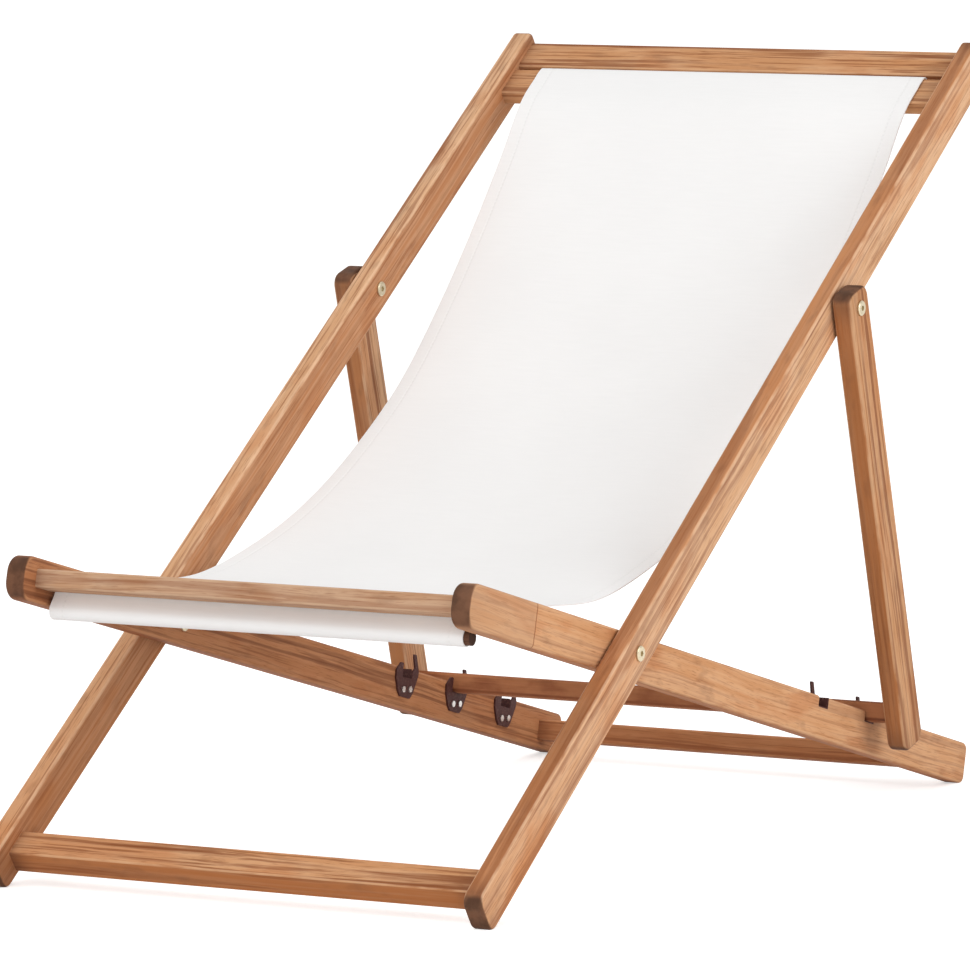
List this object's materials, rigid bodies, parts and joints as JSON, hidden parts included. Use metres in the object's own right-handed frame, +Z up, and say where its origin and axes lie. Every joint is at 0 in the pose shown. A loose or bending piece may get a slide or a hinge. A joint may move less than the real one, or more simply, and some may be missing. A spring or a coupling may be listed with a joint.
{
  "type": "deck chair",
  "caption": "Folding deck chair: hinged hardwood frames, a prop whose bar rests in metal hooks on the seat rails, and a plain fabric sling.",
  "frame": {"origin": "on the floor, at the middle of the chair's outline", "axes": "+X to the right side of the chair as seen from the front, +Y to the back of the chair, +Z up"},
  "size_m": [0.5834, 1.0844, 0.7585],
  "materials": {
    "timber": "oiled hardwood, satin",
    "rods": "plain dowel",
    "sling": "plain woven canvas",
    "hooks": "dark brown satin",
    "bolts": "passivated, satin",
    "screws": "zinc plated"
  },
  "bodies": {
    "back_frame": {"back_rail_left": "timber", "back_rail_right": "timber", "top_rail": "timber", "top_slot_rail": "timber", "foot_rail": "timber", "top_sling_rod": "rods", "sling": "sling", "frame_bolts": "bolts", "frame_nuts": "bolts", "frame_washers": "screws", "prop_bolts": "bolts", "prop_nuts": "bolts", "prop_washers": "screws"},
    "seat_frame": {"seat_rail_left": "timber", "seat_rail_right": "timber", "front_rail": "timber", "front_slot_rail": "timber", "rear_rail": "timber", "front_sling_rod": "rods", "hook_left_front": "hooks", "hook_left_middle": "hooks", "hook_left_rear": "hooks", "hook_right_front": "hooks", "hook_right_middle": "hooks", "hook_right_rear": "hooks", "hook_screws": "screws"},
    "prop_frame": {"prop_strut_left": "timber", "prop_strut_right": "timber", "prop_bar": "timber"}
  },
  "joints": [
    {"name": "frame_fold", "type": "hinge", "parent": "back_frame", "child": "seat_frame", "pos_m": [0, -0.23589, 0.2185], "axis": [-1, 0, 0], "range_deg": [0, 35], "deforming": ["sling"]},
    {"name": "prop_swing", "type": "hinge", "parent": "back_frame", "child": "prop_frame", "pos_m": [0, 0.18967, 0.51207], "axis": [-1, 0, 0], "range_deg": [0, 10.5]}
  ],
  "couplings": [
    {"joint": "prop_swing", "follows": "frame_fold", "ratio": 0.3}
  ]
}
